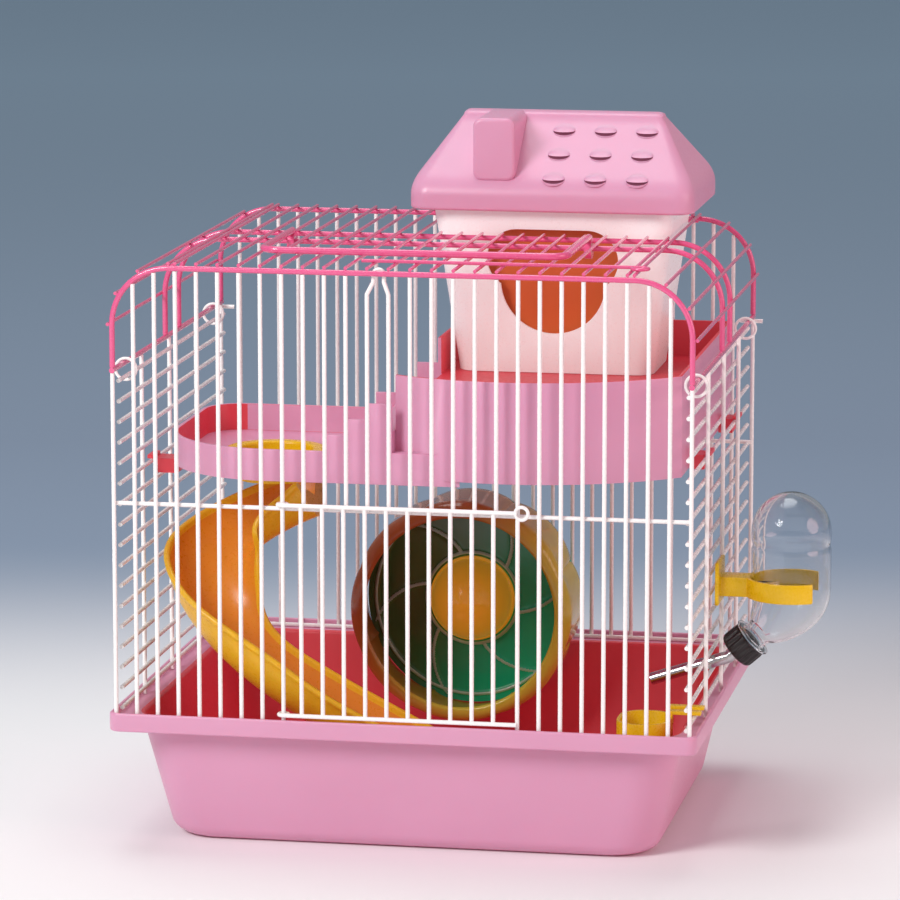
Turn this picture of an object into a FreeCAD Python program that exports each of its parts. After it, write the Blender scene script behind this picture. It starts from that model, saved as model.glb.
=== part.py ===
"""Hamster cage, a parametric FreeCAD 1.1 document (millimetres).

The origin is the middle of the tray's underside, +X is the cage's right, +Y its back and +Z is up.
Every size is driven by the sheet "Sizes"; each node of the assembly is one object of the document.
"""
import math
import os
import re

import FreeCAD
import Part
from FreeCAD import Placement, Rotation, Vector

doc = FreeCAD.newDocument("HamsterCage")

SIZES = {
    # wire
    "bar_pitch": 10.8,
    "bar_rad": 1.1,
    "rail_rad": 1.4,
    "thin_rad": 0.9,
    "cage_wide": 291.6,
    "cage_deep": 237.6,
    "cage_foot": 66.2,
    "mid_level": 177.0,
    "shoulder": 246.0,
    "roof_top": 298.0,
    "roof_bend": 29.0,
    "side_pitch": 10.45,
    "side_first": 71.6,
    # tray
    "tray_wide": 299.2,
    "tray_deep": 245.2,
    "tray_top": 70.0,
    "ledge_top": 66.0,
    "skirt_foot": 60.5,
    "rim_wall": 2.0,
    "body_wide": 279.0,
    "body_deep": 225.0,
    "foot_wide": 250.0,
    "foot_deep": 196.0,
    "wall": 2.0,
    # front door and carry handle
    "door_left": -59.4,
    "door_right": 59.4,
    "door_foot": 72.4,
    "door_head": 179.4,
    "loop_rad": 2.26,
    "handle_rad": 1.8,
    "handle_side": -0.5,
    "handle_half": 77.4,
    "handle_reach": 75.0,
    "handle_bend": 9.0,
    "pivot_back": -8.0,
    # roof opening for the house
    "hole_left": -16.2,
    "hole_front": 22.0,
    "hole_back": 113.0,
    # platform
    "floor_low": 189.0,
    "rim_low": 205.0,
    "deck_foot": 192.0,
    "deck_floor": 224.0,
    "deck_rim": 243.0,
    "plat_left": -130.0,
    "deck_left": -8.0,
    "plat_right": 135.0,
    "plat_front": -108.0,
    "plat_mid": 28.0,
    "plat_back": 112.0,
    "bow_rad": 120.0,
    "bow_back": 8.0,
    "bow_side": 50.0,
    "stair_run": 11.0,
    "tube_side": -80.0,
    "tube_back": -40.0,
    "tube_rad": 21.0,
    # wheel
    "wheel_side": -2.0,
    "wheel_high": 90.5,
    "wheel_front": 53.0,
    "wheel_back": 98.0,
    "wheel_rad": 60.0,
    "mouth_rad": 53.0,
    "hub_rad": 22.0,
    "axle_rad": 2.2,
    # house
    "house_side": 52.0,
    "house_back": 67.0,
    "tub_foot": 224.4,
    "tub_head": 314.0,
    "tub_low_wide": 103.0,
    "tub_low_deep": 61.0,
    "tub_top_wide": 127.0,
    "tub_top_deep": 85.0,
    "tub_wall": 1.6,
    "gate_rad": 27.5,
    "gate_high": 273.0,
    "gate_side": 18.5,
    "gate_lobe": 16.0,
    "gate_lobe_high": 285.0,
    "flap_back": 38.0,
    "flap_pin_high": 306.5,
    "lid_foot": 311.0,
    "lid_eaves": 324.0,
    "lid_ridge": 359.0,
    "lid_wide": 149.0,
    "lid_deep": 98.0,
    "ridge_wide": 101.0,
    "ridge_deep": 6.0,
    "lid_wall": 2.0,
    # bottle
    "flask_side": 184.5,
    "flask_back": -25.0,
    "flask_rad": 20.4,
    "flask_low": 118.0,
    "flask_high": 156.6,
    "flask_wall": 1.2,
    "neck_tilt": 41.4,
    "spout_tilt": 18.4,
    "tube_bend": 42.0,
    "spout_rad": 3.2,
    "spout_long": 42.0,
    # food cup
    "cup_left": 104.0,
    "cup_front": -95.0,
    "cup_wide": 27.0,
    "cup_deep": 34.0,
    "cup_foot": 48.0,
    "cup_top": 69.0,
}

sheet = doc.addObject("Spreadsheet::Sheet", "Sizes")
for row, (alias, value) in enumerate(SIZES.items(), start=1):
    sheet.set(f"A{row}", alias)
    sheet.set(f"B{row}", str(value))
    sheet.setAlias(f"B{row}", alias)
doc.recompute()

TURN = {
    "X": Rotation(Vector(0, 1, 0), 90),
    "Y": Rotation(Vector(1, 0, 0), -90),
    "Z": Rotation(),
}
UPRIGHT = Rotation(Vector(1, 0, 0), 90)


def bound(text):
    """Name the sheet in front of every alias of an expression."""
    return re.sub(r"[a-z]+(?:_[a-z]+)*", lambda word: _cell(word.group()), str(text))


def _cell(word):
    return f"Sizes.{word}" if word in SIZES else word


def drive(item, **sizes):
    """Bind properties of an object to expressions over the sheet."""
    for name, text in sizes.items():
        item.setExpression(name, bound(text))
    return item


def place(item, x, y, z, turn=Rotation()):
    """Turn an object and bind where its own origin stands."""
    item.Placement = Placement(Vector(), turn)
    for axis, text in zip("xyz", (x, y, z)):
        item.setExpression(f"Placement.Base.{axis}", bound(text))
    return item


def rod(rad, length, x, y, z, along="Z", turn=None):
    """A cylinder that starts at x, y, z and runs along an axis."""
    item = drive(doc.addObject("Part::Cylinder", "Rod"), Radius=rad, Height=length)
    return place(item, x, y, z, turn or TURN[along])


def cone(low, high, length, x, y, z, turn=Rotation()):
    item = drive(doc.addObject("Part::Cone", "Cone"), Radius1=low, Radius2=high, Height=length)
    return place(item, x, y, z, turn)


def ball(rad, x, y, z):
    return place(drive(doc.addObject("Part::Sphere", "Ball"), Radius=rad), x, y, z)


def block(x0, x1, y0, y1, z0, z1):
    """A box between two corners."""
    item = doc.addObject("Part::Box", "Block")
    drive(item, Length=f"({x1}) - ({x0})", Width=f"({y1}) - ({y0})", Height=f"({z1}) - ({z0})")
    return place(item, x0, y0, z0)


def ring(major, minor, x, y, z, turn=Rotation(), sweep=360):
    """A torus, or its first part when sweep is less than a full turn."""
    item = drive(doc.addObject("Part::Torus", "Ring"), Radius1=major, Radius2=minor)
    item.Angle3 = sweep
    return place(item, x, y, z, turn)


def taper(low_wide, low_deep, top_wide, top_deep, z0, z1, x="0", y="0"):
    """A box whose sides lean, centred on x, y, from z0 up to z1."""
    item = doc.addObject("Part::Wedge", "Taper")
    drive(item, Xmin=f"-({low_wide}) / 2", Xmax=f"({low_wide}) / 2",
          Zmin=f"-({low_deep}) / 2", Zmax=f"({low_deep}) / 2",
          X2min=f"-({top_wide}) / 2", X2max=f"({top_wide}) / 2",
          Z2min=f"-({top_deep}) / 2", Z2max=f"({top_deep}) / 2",
          Ymin="0", Ymax=f"({z1}) - ({z0})")
    return place(item, x, y, z0, UPRIGHT)


def fuse(pieces):
    item = doc.addObject("Part::MultiFuse", "Fuse")
    item.Shapes = pieces
    item.Refine = True
    return item


def cut(base, *tools):
    item = doc.addObject("Part::Cut", "Cut")
    item.Base = base
    item.Tool = tools[0] if len(tools) == 1 else group(tools)
    item.Refine = True
    return item


def common(first, second):
    item = doc.addObject("Part::Common", "Common")
    item.Base = first
    item.Tool = second
    return item


def group(pieces):
    item = doc.addObject("Part::Compound", "Group")
    item.Links = list(pieces)
    return item


def rounded(base, radius, wanted):
    """Fillet the edges of a shape for which wanted(edge) is true."""
    doc.recompute()
    item = doc.addObject("Part::Fillet", "Rounded")
    item.Base = base
    edges = enumerate(base.Shape.Edges, start=1)
    item.Edges = [(number, radius, radius) for number, edge in edges if wanted(edge)]
    return item


def rises(edge):
    """True for an edge that climbs, such as a corner of a box or of a taper."""
    low, high = sorted(vertex.Z for vertex in (edge.Vertexes[0], edge.Vertexes[-1]))
    return high - low > 3


def at_level(level):
    """A test for the edges that lie flat at one height."""
    return lambda edge: abs(edge.BoundBox.ZMin - level) < 0.01 and abs(edge.BoundBox.ZMax - level) < 0.01


nodes = []


def node(name, item):
    """Name a finished sub-part; its label names its file."""
    item.Label = name
    nodes.append(item)
    return item


BARS = range(28)
DOOR_BARS = range(9, 19)
LATCH_BARS = (12, 13)


def bar_x(number):
    return f"({number} * bar_pitch - cage_wide / 2)"


SHOULDER_HIGH = "(roof_top - rail_rad - roof_bend)"
FLAT_HALF = "(cage_wide / 2 - roof_bend)"


def bar_head(number):
    """Where the front or back arch passes over a bar."""
    offset = abs(number * SIZES["bar_pitch"] - SIZES["cage_wide"] / 2)
    if offset < SIZES["cage_wide"] / 2 - SIZES["roof_bend"]:
        return "(roof_top - 2 * rail_rad)"
    away = f"(abs({bar_x(number)}) - {FLAT_HALF})"
    return f"({SHOULDER_HIGH} + sqrt((roof_bend - rail_rad) ^ 2 - {away} ^ 2))"


# ---------------------------------------------------------------- tray

def make_tray():
    rim = rounded(block("-tray_wide / 2", "tray_wide / 2", "-tray_deep / 2", "tray_deep / 2",
                        "skirt_foot", "tray_top"), 5, rises)

    def rim_pocket(low, high):
        half_wide = "(tray_wide / 2 - rim_wall)"
        half_deep = "(tray_deep / 2 - rim_wall)"
        pocket = block(f"-{half_wide}", half_wide, f"-{half_deep}", half_deep, low, high)
        return rounded(pocket, 3, rises)

    hollow_rim = cut(rim, rim_pocket("ledge_top", "tray_top + 1"),
                     rim_pocket("skirt_foot - 1", "ledge_top - wall"))
    outer = rounded(taper("foot_wide", "foot_deep", "body_wide", "body_deep", "0", "ledge_top"), 22, rises)
    outer = rounded(outer, 6, at_level(0))
    inner = taper("foot_wide - 2 * wall", "foot_deep - 2 * wall", "body_wide - 2 * wall",
                  "body_deep - 2 * wall", "wall", "ledge_top + 1")
    inner = rounded(rounded(inner, 20, rises), 4, at_level(SIZES["wall"]))
    return node("tray", cut(fuse([hollow_rim, outer]), inner))


# ---------------------------------------------------------------- wire walls

def upright(number, y, low, high):
    return rod("bar_rad", f"({high}) - ({low})", bar_x(number), y, low)


def make_front_wall():
    y = "-cage_deep / 2"
    bars = []
    for number in BARS:
        corner = number in (BARS[0], BARS[-1])
        head = "shoulder - 2 * rail_rad" if corner else bar_head(number)
        if number in LATCH_BARS:
            head = "roof_top - 13"
        foot = "mid_level" if number in DOOR_BARS else "cage_foot"
        bars.append(upright(number, y, foot, head))
    inside = "-cage_deep / 2 + 2 * bar_rad"
    rails = [
        rod("bar_rad", "cage_wide / 2 + door_left", "-cage_wide / 2", inside, "cage_foot + bar_rad", "X"),
        rod("bar_rad", "cage_wide / 2 - door_right", "door_right", inside, "cage_foot + bar_rad", "X"),
        rod("bar_rad", "cage_wide", "-cage_wide / 2", inside, "mid_level", "X"),
    ]
    return node("front_wall", group(bars + rails))


def make_back_wall():
    y = "cage_deep / 2"
    bars = []
    for number in BARS:
        corner = number in (BARS[0], BARS[-1])
        head = "shoulder - 2 * rail_rad" if corner else bar_head(number)
        bars.append(upright(number, y, "cage_foot", head))
    inside = "cage_deep / 2 - 2 * bar_rad"
    rails = [
        rod("bar_rad", "cage_wide", "-cage_wide / 2", inside, "cage_foot + bar_rad", "X"),
        rod("bar_rad", "cage_wide", "-cage_wide / 2", inside, "mid_level", "X"),
    ]
    for start in ("-cage_wide / 2 - 5", "cage_wide / 2 - 7"):
        rails.append(rod("bar_rad", "12", start, "cage_deep / 2 + 2 * bar_rad", "shoulder - 4", "X"))
    return node("back_wall", group(bars + rails))


def make_side_wall(name, side):
    """Close horizontal wires on three uprights; side is -1 for left and 1 for right."""
    wires = []
    for count in range(17):
        level = f"side_first + {count} * side_pitch"
        wires.append(rod("bar_rad", "cage_deep - 6 * bar_rad", f"{side} * (cage_wide / 2 - 2 * bar_rad)",
                         "-cage_deep / 2 + 3 * bar_rad", level, "Y"))
    for quarter in (-1, 0, 1):
        wires.append(rod("bar_rad", "shoulder - 2 * rail_rad - cage_foot", f"{side} * cage_wide / 2",
                         f"{quarter} * cage_deep / 4", "cage_foot"))
    return node(name, group(wires))


# ---------------------------------------------------------------- roof

RIGHT_BEND = UPRIGHT
LEFT_BEND = Rotation(Vector(0, 1, 0), -90) * UPRIGHT


def arch(y):
    """One wire over the cage: two legs, two bends and a flat run."""
    flat = "roof_top - rail_rad"
    pieces = [rod("rail_rad", f"2 * {FLAT_HALF}", f"-{FLAT_HALF}", y, flat, "X")]
    for side, turn in ((-1, LEFT_BEND), (1, RIGHT_BEND)):
        pieces.append(ring("roof_bend", "rail_rad", f"{side} * {FLAT_HALF}", y, SHOULDER_HIGH, turn, 90))
        pieces.append(rod("rail_rad", f"{SHOULDER_HIGH} - shoulder", f"{side} * cage_wide / 2", y, "shoulder"))
    return fuse(pieces)


def make_roof():
    arches = [arch(y) for y in ("-cage_deep / 2", "pivot_back", "hole_front", "cage_deep / 2")]
    rear_bar = rod("rail_rad", f"{FLAT_HALF} - hole_left", "hole_left", "hole_back",
                   "roof_top - rail_rad", "X")
    node("roof_arches", group(arches + [rear_bar]))

    wires = []
    top = "roof_top + thin_rad"
    for number in range(3, 25):
        over_hole = 12 < number
        run = "hole_front + cage_deep / 2" if over_hole else "cage_deep"
        wires.append(rod("thin_rad", run, bar_x(number), "-cage_deep / 2", top, "Y"))
        if over_hole:
            wires.append(rod("thin_rad", "cage_deep / 2 - hole_back", bar_x(number), "hole_back", top, "Y"))
    for side in (-1, 1):
        for angle in (0, 30, 60, 90):
            reach = "(roof_bend + rail_rad + thin_rad)"
            x = f"{side} * ({FLAT_HALF} + {reach} * {math.sin(math.radians(angle)):.4f})"
            z = f"{SHOULDER_HIGH} + {reach} * {math.cos(math.radians(angle)):.4f}"
            wires.append(rod("thin_rad", "cage_deep", x, "-cage_deep / 2", z, "Y"))
    node("roof_wires", group(wires))

    edges = [rod("rail_rad", "cage_deep + 2 * rail_rad", f"{side} * cage_wide / 2",
                 "-cage_deep / 2 - rail_rad", "shoulder - rail_rad", "Y") for side in (-1, 1)]
    node("roof_edge_rails", group(edges))


def make_cross_rod():
    """The thin rod behind the front rail, with an open eye at its right end."""
    y = "-cage_deep / 2 + 16"
    level = "roof_top + 3 * thin_rad"
    run = rod("thin_rad", "140", "-22", y, level, "X")
    eye = ring("4", "thin_rad", "118", f"{y} - 4", level, Rotation(Vector(0, 0, 1), -180), 270)
    return node("roof_cross_rod", fuse([run, eye]))


def make_latch_loop():
    """Two neighbouring bars that lean together and close in a loop behind the front rail."""
    face = -SIZES["cage_deep"] / 2
    behind = face + SIZES["rail_rad"] + SIZES["bar_rad"] + 0.1
    middle = sum(LATCH_BARS) / 2 * SIZES["bar_pitch"] - SIZES["cage_wide"] / 2
    half_gap = 2.7
    pieces = [ring(half_gap, "bar_rad", middle, behind, "roof_top - 2.4", UPRIGHT, 180)]
    for number, side in zip(LATCH_BARS, (-1, 1)):
        low = Vector(number * SIZES["bar_pitch"] - SIZES["cage_wide"] / 2, face, SIZES["roof_top"] - 11.8)
        high = Vector(middle + side * half_gap, behind, SIZES["roof_top"] - 6)
        way = high - low
        pieces.append(rod("bar_rad", "1.2", low.x, low.y, "roof_top - 13"))
        pieces.append(ball("bar_rad", low.x, low.y, low.z))
        lean_in = Rotation(Vector(0, 0, 1), way)
        pieces.append(rod("bar_rad", way.Length, low.x, low.y, low.z, turn=lean_in))
        pieces.append(ball("bar_rad", high.x, high.y, high.z))
        pieces.append(rod("bar_rad", "3.6", high.x, high.y, high.z))
    return node("front_latch_loop", fuse(pieces))


def make_wire_rings():
    """Open rings that tie the roof's edge rails to the top wires of the side walls."""
    rings = []
    for side in (-1, 1):
        for y in (-96, 96):
            rings.append(ring("5.4", "0.8", f"{side} * (cage_wide / 2 - 1.1)", y, "shoulder - 4.3", UPRIGHT))
    return node("wire_rings", group(rings))


# ---------------------------------------------------------------- door and handle

def make_front_door():
    """A wire gate that turns on the fixed bar at its left."""
    face = "-cage_deep / 2 - 2 * bar_rad - 0.3"
    pieces = []
    for level in ("door_foot", "door_head"):
        pieces.append(rod("bar_rad", "door_right - door_left", "door_left", face, level, "X"))
        pieces.append(ring("loop_rad", "bar_rad", "door_left", "-cage_deep / 2", level))
    for number in DOOR_BARS:
        pieces.append(rod("bar_rad", "door_head - door_foot", f"{bar_x(number)} - 1", f"{face} + 0.3", "door_foot"))
    pieces.append(ring("3.2", "thin_rad", "door_right + 2.4", face, "door_head", UPRIGHT))
    return node("front_door", fuse(pieces))


def make_carry_handle():
    """A thick bail whose two eyes turn on the second arch."""
    level = "roof_top - rail_rad"
    lift = "roof_top + 2 * thin_rad + handle_rad + 0.6"
    grip_y = "pivot_back - handle_reach"
    pieces = [rod("handle_rad", "2 * (handle_half - handle_bend)",
                  "handle_side - handle_half + handle_bend", grip_y, lift, "X")]
    for side, start in ((-1, 180), (1, 270)):
        corner = Rotation(Vector(0, 0, 1), start)
        x = f"handle_side + {side} * handle_half"
        pieces.append(ring("handle_bend", "handle_rad", f"{x} - {side} * handle_bend",
                           f"{grip_y} + handle_bend", lift, corner, 90))
        pieces.append(rod("handle_rad", "handle_reach - handle_bend", x,
                          f"{grip_y} + handle_bend", lift, "Y"))
        eye = cut(rod("rail_rad + 4", "3.6", f"{x} - 1.8", "pivot_back", level, "X"),
                  rod("rail_rad + 0.08", "6", f"{x} - 3", "pivot_back", level, "X"))
        pieces.append(eye)
    return node("carry_handle", fuse(pieces))


# ---------------------------------------------------------------- platform and slide

def make_platform():
    low_outer = block("plat_left", "bow_side", "plat_front", "plat_mid", "floor_low", "rim_low")
    low_outer = rounded(low_outer, 60, lambda edge: rises(edge) and edge.CenterOfMass.x < 0
                        and edge.CenterOfMass.y < 0)
    low_outer = rounded(low_outer, 20, lambda edge: rises(edge) and edge.CenterOfMass.x < -100
                        and edge.CenterOfMass.y > 20)
    low_inner = block("plat_left + wall", "deck_left - 3 * stair_run", "plat_front + wall", "plat_mid - wall",
                      "floor_low + wall", "rim_low + 1")
    low_inner = rounded(low_inner, 58, lambda edge: rises(edge) and edge.CenterOfMass.x < -100
                        and edge.CenterOfMass.y < 0)
    low_inner = rounded(low_inner, 18, lambda edge: rises(edge) and edge.CenterOfMass.x < -100
                        and edge.CenterOfMass.y > 20)

    steps, wells = [], []
    for count in range(3):
        x0 = f"deck_left - {3 - count} * stair_run"
        x1 = f"deck_left - {2 - count} * stair_run" if count < 2 else "deck_left + wall"
        tread = f"floor_low + wall + {count + 1} * 8.25"
        steps.append(block(x0, x1, "plat_front", "plat_mid", "floor_low", f"{tread} + 14"))
        wells.append(block(f"{x0} - 0.01", x1, "plat_front + wall", "plat_mid - wall", tread, "deck_rim + 1"))

    def deck(inset, low, high):
        """The bowed front half and the square back half of the deck, pulled in by inset."""
        left, right = f"deck_left + {inset}", f"plat_right - {inset}"
        bow = rod(f"bow_rad - {inset}", f"({high}) - ({low})", "bow_side", "bow_back", low)
        front = common(bow, block(left, right, "plat_front - 20", "bow_back", low, high))
        return fuse([front, block(left, right, "bow_back", f"plat_back - {inset}", low, high)])

    solid = fuse([low_outer, deck("0", "deck_foot", "deck_rim")] + steps)
    mouth = block("deck_left - 1", "deck_left + wall + 1", "plat_front + 12", "plat_mid - wall",
                  "deck_floor", "deck_rim + 1")
    hole = rod("tube_rad", "8", "tube_side", "tube_back", "floor_low - 3")
    under = cut(deck("wall", "floor_low - 1", "deck_floor - wall"),
                block("-60", "deck_left + wall", "-150", "150", "floor_low - 2", "deck_rim"))
    shell = cut(solid, low_inner, deck("wall", "deck_floor", "deck_rim + 1"), mouth, hole, under, *wells)
    return node("platform", shell)


def make_platform_clips():
    """Hooks beside the platform that hang on the side walls' wires."""
    clips = []
    spots = ((-1, "plat_left", -42, 4), (1, "plat_right", -40, 5), (1, "plat_right", 70, 5))
    for side, face, y, level in spots:
        wire = f"side_first + ({level} + 7) * side_pitch"
        inner = f"{side} * (cage_wide / 2 - 3 * bar_rad - 0.1)"
        low, high = (inner, face) if side < 0 else (face, inner)
        clips.append(block(low, high, y - 7, y + 7, f"{wire} - 6", f"{wire} + 1.4"))
        hook_low, hook_high = (f"{inner} - 3.4", inner) if side < 0 else (inner, f"{inner} + 3.4")
        clips.append(block(hook_low, hook_high, y - 7, y + 7, f"{wire} + 1.15", f"{wire} + 3"))
    return node("platform_clips", group(clips))


def make_slide_collar():
    """The flanged ring that drops into the platform's hole."""
    flange = rod("tube_rad + 5", "3", "tube_side", "tube_back", "floor_low + wall")
    neck = rod("tube_rad - 0.05", "12.5", "tube_side", "tube_back", "floor_low - 10.5")
    bore = rod("tube_rad - 2", "30", "tube_side", "tube_back", "floor_low - 20")
    return node("slide_collar", cut(fuse([flange, neck]), bore))


def make_slide():
    """An open trough that leaves the hole leftwards, turns at the left wall and runs down to the tray floor."""
    half, depth, skin = 24.0, 21.0, 2.0
    points = [Vector(-66, -29, 177), Vector(-86, -33, 168), Vector(-109, -54, 148), Vector(-97, -77, 121),
              Vector(-60, -79, 88), Vector(-14, -76, 62), Vector(46, -70, 26)]
    curve = Part.BSplineCurve()
    curve.interpolate(points)
    tangent = curve.tangent(curve.FirstParameter)[0]
    across = tangent.cross(Vector(0, 0, 1)).normalize()
    up = across.cross(tangent).normalize()

    def half_pipe(rad):
        ends = [points[0] + across * side * rad for side in (-1, 1)]
        return Part.Arc(ends[0], points[0] - up * (rad - half + depth), ends[1]), ends

    outer, outer_ends = half_pipe(half)
    inner, inner_ends = half_pipe(half - skin)
    edges = [outer.toShape(), Part.makeLine(outer_ends[1], inner_ends[1]),
             inner.toShape(), Part.makeLine(inner_ends[0], outer_ends[0])]
    pipe = Part.BRepOffsetAPI.MakePipeShell(Part.Wire([curve.toShape()]))
    pipe.setBiNormalMode(Vector(0, 0, 1))
    pipe.add(Part.Wire(Part.__sortEdges__(edges)))
    pipe.build()
    pipe.makeSolid()
    item = doc.addObject("Part::Feature", "Slide")
    item.Shape = pipe.shape()
    return node("slide", item)


# ---------------------------------------------------------------- wheel

def wheel_rod(rad, y0, y1):
    return rod(rad, f"({y1}) - ({y0})", "wheel_side", y0, "wheel_high", "Y")


def make_wheel():
    drum = cut(wheel_rod("wheel_rad", "wheel_front", "wheel_back"),
               wheel_rod("mouth_rad", "wheel_front - 1", "wheel_front + 5"),
               wheel_rod("wheel_rad - wall", "wheel_front + wall", "wheel_back + 1"))
    node("wheel_drum", drum)
    plate = cut(wheel_rod("wheel_rad - wall", "wheel_back - wall", "wheel_back"),
                wheel_rod("axle_rad + 0.06", "wheel_back - 5", "wheel_back + 5"))
    node("wheel_disc", plate)
    dome = common(ball("hub_rad", "wheel_side", "wheel_back - wall", "wheel_high"),
                  wheel_rod("hub_rad + 1", "wheel_back - wall - hub_rad", "wheel_back - wall"))
    bore = wheel_rod("axle_rad + 0.06", "wheel_back - wall - hub_rad + 4", "wheel_back")
    node("wheel_hub", cut(dome, bore, wheel_rod("axle_rad + 3.1", "wheel_back - 20", "wheel_back - 13.9")))


def make_wheel_mount():
    """Bracket inside the back wall, axle bolt through it and a winged nut outside."""
    inside = "cage_deep / 2 - 3 * bar_rad"
    outside = "cage_deep / 2 + bar_rad"
    boss = wheel_rod("9", "wheel_back + 0.6", inside)
    arm = block("wheel_side - 24", "wheel_side + 24", f"{inside} - 3", inside,
                "wheel_high - 8", "wheel_high + 8")
    node("wheel_bracket", cut(fuse([boss, arm]), wheel_rod("axle_rad + 0.02", "wheel_back", "cage_deep")))
    node("wheel_axle", fuse([wheel_rod("axle_rad", "wheel_back - 18", f"{outside} + 9"),
                             wheel_rod("axle_rad + 3", "wheel_back - 19.5", "wheel_back - 18")]))
    nut = fuse([wheel_rod("9", outside, f"{outside} + 6"),
                block("wheel_side - 17", "wheel_side + 17", outside, f"{outside} + 4",
                      "wheel_high - 3", "wheel_high + 3")])
    node("wheel_wing_nut", cut(nut, wheel_rod("axle_rad + 0.02", outside, f"{outside} + 10")))


# ---------------------------------------------------------------- house

def tub_taper(inset, low, high):
    """The tub's leaning walls, pulled in by inset, between two levels of its own height."""
    return taper(f"tub_low_wide - 2 * {inset}", f"tub_low_deep - 2 * {inset}",
                 f"tub_top_wide - 2 * {inset}", f"tub_top_deep - 2 * {inset}",
                 low, high, "house_side", "house_back")


def gate_tool(y0, y1):
    """The doorway's outline: a disc below and a wide rounded bar above."""
    span = f"({y1}) - ({y0})"
    disc = rod("gate_rad", span, "house_side", y0, "gate_high", "Y")
    lobes = [rod("gate_lobe", span, f"house_side + {side} * gate_side", y0, "gate_lobe_high", "Y")
             for side in (-1, 1)]
    middle = block("house_side - gate_side", "house_side + gate_side", y0, y1,
                   "gate_lobe_high - gate_lobe", "gate_lobe_high + gate_lobe")
    return fuse([disc, middle] + lobes)


def make_house():
    outer = rounded(tub_taper("0", "tub_foot", "tub_head"), 10, rises)
    inner = rounded(tub_taper("tub_wall", "tub_foot + tub_wall", "tub_head + 1"), 8.4, rises)
    shell = cut(outer, inner, gate_tool("0", "house_back"))
    lugs = []
    for side in (-1, 1):
        x = f"house_side + {side} * 42"
        lug = block(f"{x} - 2", f"{x} + 2", "house_back - tub_top_deep / 2 + 2.4", "flap_back + 2.6",
                    "flap_pin_high - 2.6", "flap_pin_high + 2.6")
        lugs.append(lug)
    pin_bore = rod("1.56", "120", "house_side - 60", "flap_back", "flap_pin_high", "X")
    node("house_tub", cut(fuse([shell] + lugs), pin_bore))

    leaf = block("house_side - 37", "house_side + 37", "flap_back - 0.8", "flap_back + 0.8",
                 "gate_high - gate_rad - 3", "flap_pin_high")
    leaf = rounded(leaf, 26, lambda edge: edge.Length < 2 and edge.CenterOfMass.z < SIZES["gate_high"])
    pin = rod("1.5", "88.4", "house_side - 44.2", "flap_back", "flap_pin_high", "X")
    node("house_flap", fuse([leaf, pin]))


def make_house_lid():
    def roof_shell(inset):
        skirt = taper(*(f"{size} - 2 * {inset}" for size in ("lid_wide", "lid_deep", "lid_wide", "lid_deep")),
                      f"lid_foot - {inset} * 5", "lid_eaves - 0.4 * " + inset, "house_side", "house_back")
        hip = taper(f"lid_wide - 2 * {inset}", f"lid_deep - 2 * {inset}", f"ridge_wide - {inset}",
                    f"ridge_deep - {inset}", "lid_eaves - 0.4 * " + inset, f"lid_ridge - {inset}",
                    "house_side", "house_back")
        return fuse([skirt, hip])

    chimney = block("11.3", "33.3", "24", "house_back", "lid_eaves - 3", "lid_ridge")
    outer = rounded(fuse([roof_shell("0"), chimney]), 1.6, lambda edge: edge.CenterOfMass.z > 312)
    flue = block("13.3", "31.3", "26", "house_back - 1", "lid_eaves - 2", "lid_ridge - lid_wall")
    inside = cut(roof_shell("lid_wall"), block("-100", "200", "-100", "200", "tub_head + 0.1", "tub_head + 2"))
    seat_gap = tub_taper("8", "tub_foot", "tub_head + 4")
    slots = []
    for row_count in range(3):
        for column in range(3):
            x = 54.3 + 21.8 * column - 0.5 * row_count
            high = 349.3 - 11 * row_count
            slots.append(block(x - 5, x + 5, "15", "house_back - 4", high, high + 1.4))
    node("house_lid", cut(outer, inside, seat_gap, flue, *slots))


# ---------------------------------------------------------------- bottle

def lean(tilt):
    """The turn that points a piece to the left and down by tilt degrees."""
    return Rotation(Vector(0, 1, 0), -90 - tilt)


def on_neck(distance):
    """A point on the neck's line, measured from the middle of the flask's lower end."""
    return (f"flask_side - ({distance}) * cos(neck_tilt)", "flask_back",
            f"flask_low - ({distance}) * sin(neck_tilt)")


def neck_rod(rad, near, far):
    return rod(rad, f"({far}) - ({near})", *on_neck(near), turn=lean(SIZES["neck_tilt"]))


def on_spout(distance):
    """A point on the tube's straight run, measured from its bend."""
    x, y, z = on_neck("tube_bend")
    return f"{x} - ({distance}) * cos(spout_tilt)", y, f"{z} - ({distance}) * sin(spout_tilt)"


def spout_rod(rad, near, far):
    return rod(rad, f"({far}) - ({near})", *on_spout(near), turn=lean(SIZES["spout_tilt"]))


def make_bottle():
    def flask(inset, neck_end):
        rad = f"flask_rad - {inset}"
        return fuse([rod(rad, "flask_high - flask_low", "flask_side", "flask_back", "flask_low"),
                     ball(rad, "flask_side", "flask_back", "flask_high"),
                     ball(rad, "flask_side", "flask_back", "flask_low"),
                     cone(f"14 - {inset}", f"7.5 - {inset}", "14", *on_neck("13"),
                          turn=lean(SIZES["neck_tilt"])),
                     neck_rod(f"7.5 - {inset}", "20", neck_end)])

    node("water_bottle", cut(flask("0", "35"), flask("flask_wall", "40")))
    through = neck_rod("spout_rad + 0.02", "20", "50")
    node("bottle_cap", cut(neck_rod("10", "27", "38"), neck_rod("7.56", "26", "36.2"), through))
    node("bottle_seal", cut(neck_rod("7.4", "35.05", "36.15"), through))

    def pipe(rad, near, far):
        return fuse([neck_rod(rad, near, "tube_bend"), ball(rad, *on_spout("0")), spout_rod(rad, "0", far)])

    bore = pipe("spout_rad - 0.6", "30", "spout_long - 2")
    mouth = spout_rod("2.1", "10", "spout_long + 9")
    node("drinking_tube", cut(pipe("spout_rad", "32", "spout_long"), bore, mouth))
    node("drinking_ball", ball("2.45", *on_spout("spout_long - 3.6")))


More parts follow.
